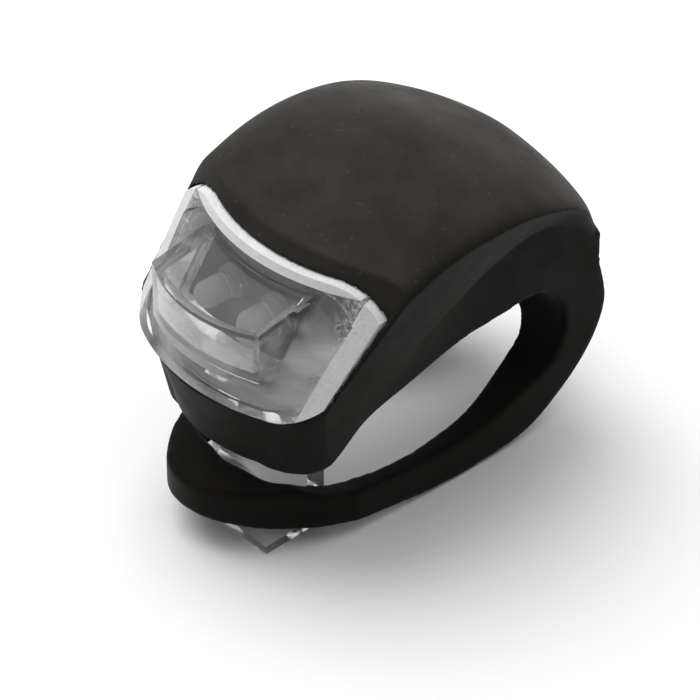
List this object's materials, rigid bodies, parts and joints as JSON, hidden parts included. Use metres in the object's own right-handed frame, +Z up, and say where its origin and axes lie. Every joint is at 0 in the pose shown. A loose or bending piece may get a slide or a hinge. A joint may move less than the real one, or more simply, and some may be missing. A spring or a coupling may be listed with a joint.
{
  "type": "bicycle headlight",
  "caption": "Strap-on bicycle headlight: soft black dome over a press button, clear front window, and a slotted rubber strap that loops round a bar and hooks under the chin.",
  "frame": {"origin": "centre of the footprint, on the surface the light rests on", "axes": "+X along the bar that the strap holds, +Y backwards from the lens, +Z up"},
  "size_m": [0.0318, 0.049, 0.0388],
  "materials": {
    "black_silicone": "matt",
    "clear_plastic": "clear, polished",
    "white_plastic": "satin",
    "black_plastic": "satin",
    "board_laminate": "green lacquer",
    "tinned_metal": "tinned",
    "bright_steel": "nickel plated",
    "ceramic": "fired",
    "led_epoxy": "clear",
    "lithium_metal": "dull",
    "manganese_pellet": "pressed powder",
    "separator_paper": "fibrous",
    "phosphor_bronze": "sprung"
  },
  "bodies": {
    "light": {"silicone_cover": "black_silicone", "silicone_strap": "black_silicone", "front_lens": "clear_plastic", "hook_base": "clear_plastic", "inner_cover": "white_plastic", "switch_case": "black_plastic", "switch_plate": "bright_steel", "switch_snap_dome": "bright_steel", "switch_terminals": "tinned_metal", "circuit_board": "board_laminate", "board_screws": "bright_steel", "driver_chip": "black_plastic", "chip_resistors": "ceramic", "chip_capacitor": "ceramic", "led_left": "led_epoxy", "led_right": "led_epoxy", "led_leads_left": "tinned_metal", "led_leads_right": "tinned_metal", "led_holder": "black_plastic", "positive_contact": "phosphor_bronze", "negative_contact": "phosphor_bronze", "lower_cell_can": "bright_steel", "lower_cell_cap": "bright_steel", "lower_cell_seal": "black_plastic", "lower_cell_lithium_disc": "lithium_metal", "lower_cell_separator": "separator_paper", "lower_cell_cathode_pellet": "manganese_pellet", "upper_cell_can": "bright_steel", "upper_cell_cap": "bright_steel", "upper_cell_seal": "black_plastic", "upper_cell_lithium_disc": "lithium_metal", "upper_cell_separator": "separator_paper", "upper_cell_cathode_pellet": "manganese_pellet"},
    "pull_tab": {"pull_tab": "black_silicone"},
    "push_button": {"push_button": "white_plastic", "switch_plunger": "black_plastic"}
  },
  "joints": [
    {"name": "tab_pull", "type": "slide", "parent": "light", "child": "pull_tab", "axis": [0, -1, 0], "range_m": [0, 0.012], "stiffness_N_per_m": 500},
    {"name": "button_press", "type": "slide", "parent": "light", "child": "push_button", "axis": [0, 0, -1], "range_m": [0, 0.0002], "stiffness_N_per_m": 5000, "deforming": ["switch_snap_dome"]}
  ]
}
